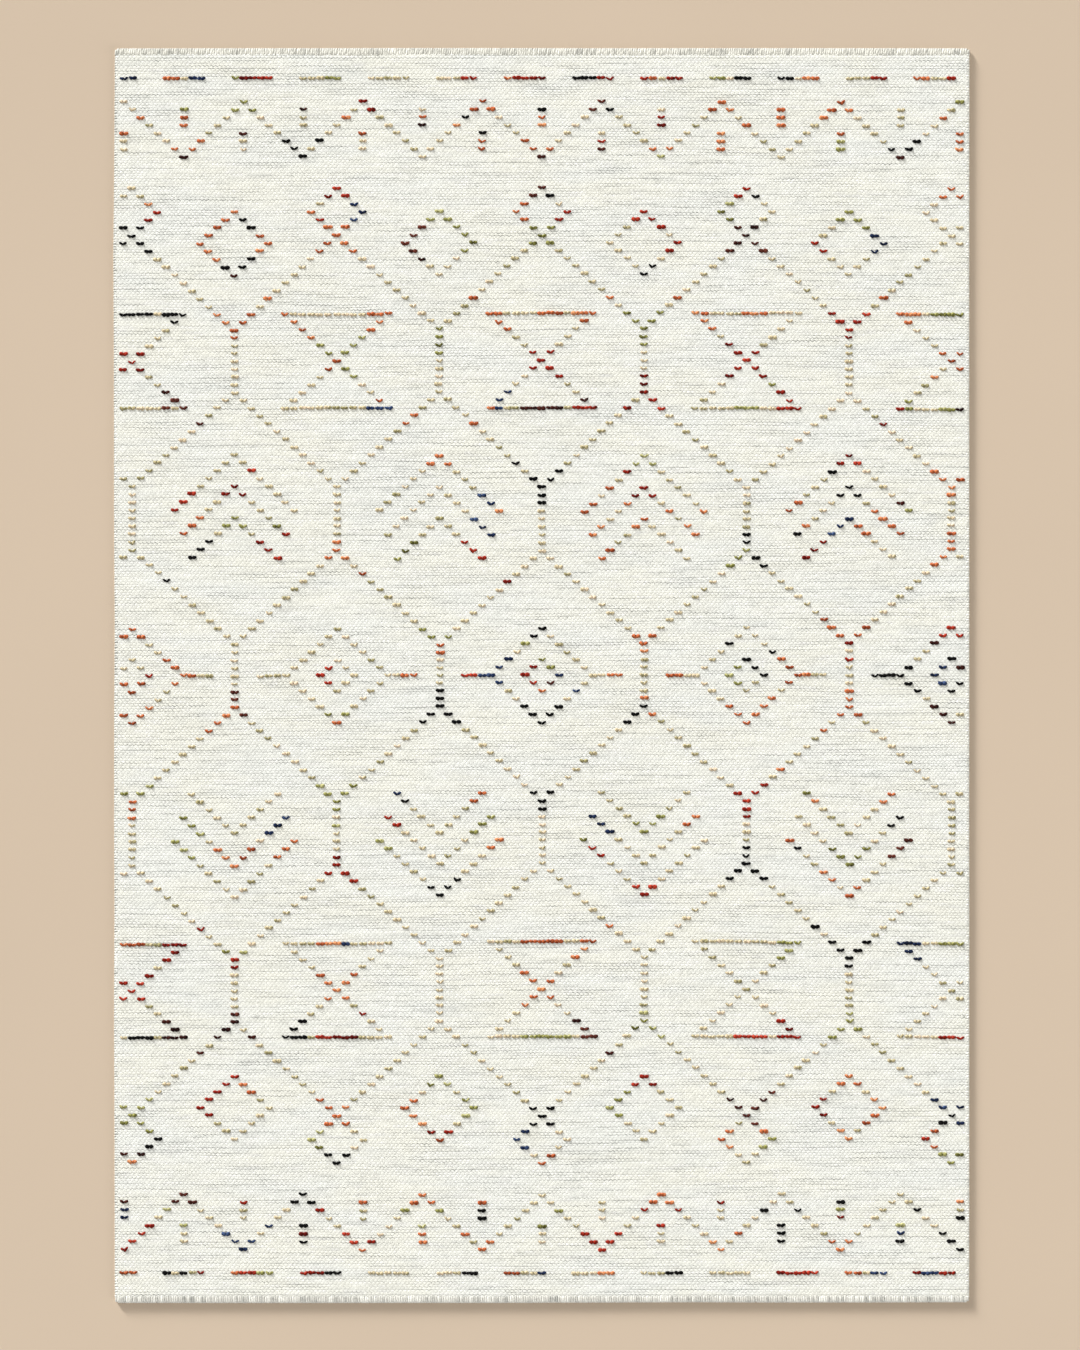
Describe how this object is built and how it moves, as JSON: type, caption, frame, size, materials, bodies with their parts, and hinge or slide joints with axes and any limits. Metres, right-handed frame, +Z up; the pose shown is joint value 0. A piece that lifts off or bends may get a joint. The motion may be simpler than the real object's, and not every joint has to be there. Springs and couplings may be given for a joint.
{
  "type": "flat-woven kilim rug",
  "caption": "Rectangular flat-woven wool rug lying flat, ivory ground with raised coloured knot lines, woven side selvedges and overcast ends.",
  "frame": {"origin": "middle of the rug's underside, on the surface it lies on", "axes": "+X across the rug to the picture's right, +Y along its length to the picture's top, +Z up out of the face"},
  "size_m": [1.56, 2.286, 0.006],
  "materials": {
    "ivory_wool": "matte",
    "overcast_yarn": "matte",
    "tan_yarn": "matte",
    "olive_yarn": "matte",
    "orange_yarn": "matte",
    "red_yarn": "matte",
    "maroon_yarn": "matte",
    "black_yarn": "matte",
    "navy_yarn": "matte"
  },
  "bodies": {
    "root": {"woven_field": "ivory_wool", "overcast_end_north": "overcast_yarn", "overcast_end_south": "overcast_yarn"}
  },
  "joints": []
}
